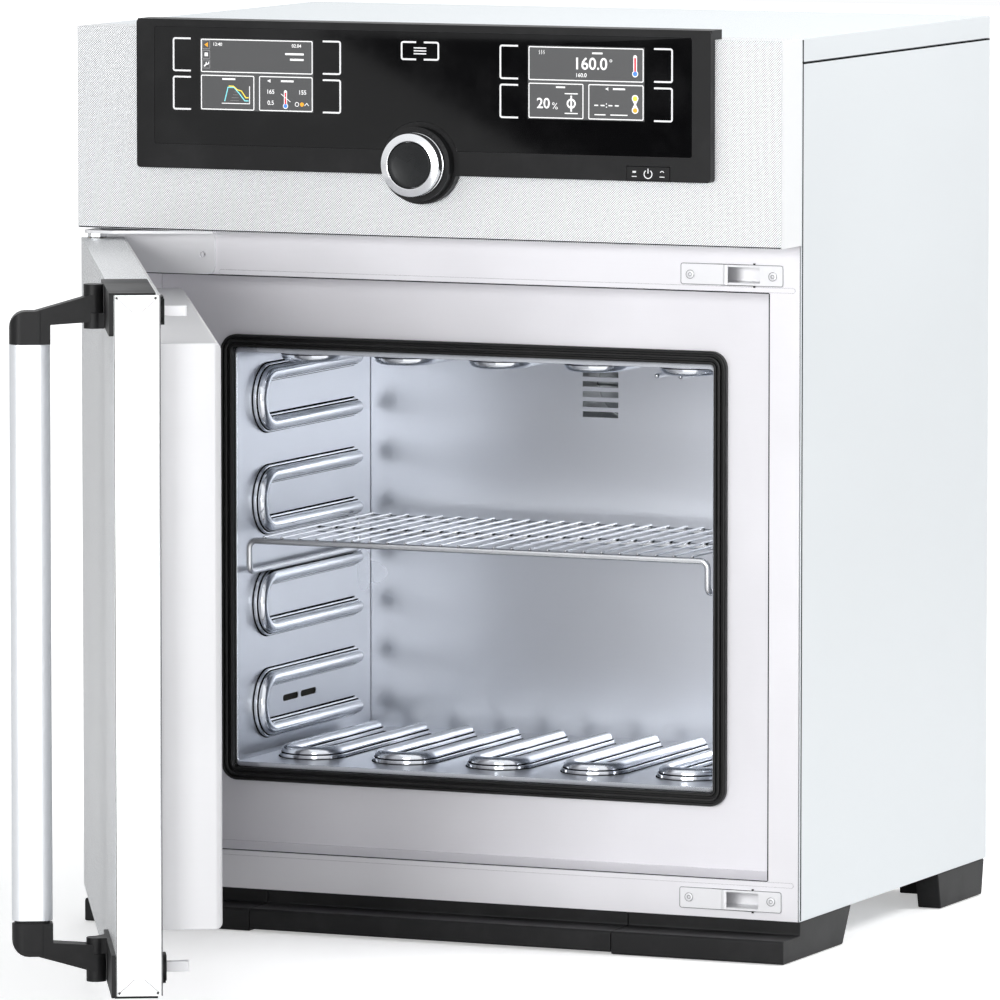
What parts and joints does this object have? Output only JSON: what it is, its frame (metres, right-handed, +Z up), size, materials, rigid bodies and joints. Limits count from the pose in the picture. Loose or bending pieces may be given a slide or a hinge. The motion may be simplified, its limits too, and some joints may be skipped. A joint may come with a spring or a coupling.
{
  "type": "laboratory sterilizer",
  "caption": "Benchtop hot-air laboratory sterilizer with a hinged latching door, ribbed steel chamber, wire shelf and a black touch control panel with a turn dial.",
  "frame": {"origin": "on the bench under the middle of the cabinet's width and depth", "axes": "+Z up, +X to the right as seen from the front, -Y towards the front, where the door and the control panel are"},
  "size_m": [0.5896, 0.9337, 0.7025],
  "materials": {
    "textured_steel": "linen-textured stainless steel",
    "cover_steel": "linen-textured stainless steel",
    "galvanised_steel": "galvanised sheet",
    "frame_steel": "satin stainless steel",
    "chamber_steel": "bright satin stainless steel",
    "bright_steel": "polished stainless steel",
    "gasket_rubber": "matt silicone",
    "mineral_wool": "mineral wool",
    "heater_sheath": "dark annealed steel",
    "motor_grey": "moulded plastic",
    "black_plastic": "fine-grained moulded plastic",
    "circuit_board": "glass-fibre board",
    "black_glass": "black glass front",
    "display_panel": "screen",
    "chrome_ring": "satin chrome",
    "key_black": "satin black",
    "bush_brass": "turned brass",
    "handle_steel": "satin tube"
  },
  "bodies": {
    "cabinet": {"side_panel_left": "cover_steel", "side_panel_right": "cover_steel", "top_cover": "cover_steel", "rear_panel": "galvanised_steel", "bottom_pan": "galvanised_steel", "front_frame": "frame_steel", "equipment_deck": "galvanised_steel", "insulation": "mineral_wool", "chamber_left_wall": "chamber_steel", "chamber_right_wall": "chamber_steel", "chamber_floor": "chamber_steel", "chamber_ceiling": "chamber_steel", "chamber_back_wall": "chamber_steel", "chamber_rim": "bright_steel", "chamber_gasket": "gasket_rubber", "heating_rods": "heater_sheath", "temperature_sensors": "bright_steel", "exhaust_duct": "galvanised_steel", "flap_motor": "motor_grey", "mains_inlet": "black_plastic", "power_board": "circuit_board", "control_cap": "textured_steel", "control_bezel": "black_plastic", "control_glass": "black_glass", "display_left": "display_panel", "display_right": "display_panel", "control_board": "circuit_board", "dial_encoder": "motor_grey", "striker_top": "bright_steel", "striker_bottom": "bright_steel", "striker_screws": "bright_steel", "hinge_bracket_top": "bright_steel", "hinge_bracket_bottom": "bright_steel", "hinge_pins": "bright_steel", "hinge_screws": "bright_steel", "front_plinth": "black_plastic", "rear_plinth": "black_plastic", "foot_front_left": "black_plastic", "foot_front_right": "black_plastic", "foot_rear_left": "black_plastic", "foot_rear_right": "black_plastic"},
    "door": {"door_outer_panel": "textured_steel", "door_inner_panel": "frame_steel", "door_insulation": "mineral_wool", "door_bushes": "bush_brass", "handle_carrier_top": "black_plastic", "handle_carrier_bottom": "black_plastic", "latch_housing_top": "black_plastic", "latch_housing_bottom": "black_plastic", "handle_pins": "bright_steel"},
    "handle": {"handle_bar": "handle_steel", "handle_arm_top": "black_plastic", "handle_arm_bottom": "black_plastic"},
    "latch_top": {"latch_hook_top": "bright_steel"},
    "latch_bottom": {"latch_hook_bottom": "bright_steel"},
    "dial": {"dial_ring": "chrome_ring"},
    "confirm": {"confirm_key": "key_black"},
    "power": {"power_key": "black_plastic"},
    "shelf": {"shelf": "bright_steel"},
    "flap": {"vent_flap": "bright_steel"}
  },
  "joints": [
    {"name": "door_hinge", "type": "hinge", "parent": "cabinet", "child": "door", "pos_m": [-0.282, -0.205, 0], "axis": [0, 0, 1], "range_deg": [-118.5, 61.5]},
    {"name": "handle_turn", "type": "hinge", "parent": "door", "child": "handle", "pos_m": [-0.07029, -0.6425, 0], "axis": [0, 0, 1], "range_deg": [0, 45]},
    {"name": "latch_turn_top", "type": "hinge", "parent": "door", "child": "latch_top", "pos_m": [-0.01424, -0.66043, 0], "axis": [0, 0, 1], "range_deg": [0, 45]},
    {"name": "latch_turn_bottom", "type": "hinge", "parent": "door", "child": "latch_bottom", "pos_m": [-0.01424, -0.66043, 0], "axis": [0, 0, 1], "range_deg": [0, 45]},
    {"name": "dial_turn", "type": "hinge", "parent": "cabinet", "child": "dial", "pos_m": [0, -0.217, 0.5971], "axis": [0, 1, 0], "continuous": true},
    {"name": "confirm_press", "type": "slide", "parent": "cabinet", "child": "confirm", "axis": [0, 1, 0], "range_m": [0, 0.0015], "stiffness_N_per_m": 800},
    {"name": "power_press", "type": "slide", "parent": "cabinet", "child": "power", "axis": [0, 1, 0], "range_m": [0, 0.002], "stiffness_N_per_m": 800},
    {"name": "shelf_slide", "type": "slide", "parent": "cabinet", "child": "shelf", "axis": [0, 1, 0], "range_m": [-0.09, 0]},
    {"name": "flap_turn", "type": "hinge", "parent": "cabinet", "child": "flap", "pos_m": [0.002, 0.1792, 0.398], "axis": [1, 0, 0], "range_deg": [0, 90]}
  ],
  "couplings": [
    {"joint": "latch_turn_top", "follows": "handle_turn", "ratio": 1},
    {"joint": "latch_turn_bottom", "follows": "handle_turn", "ratio": 1}
  ]
}
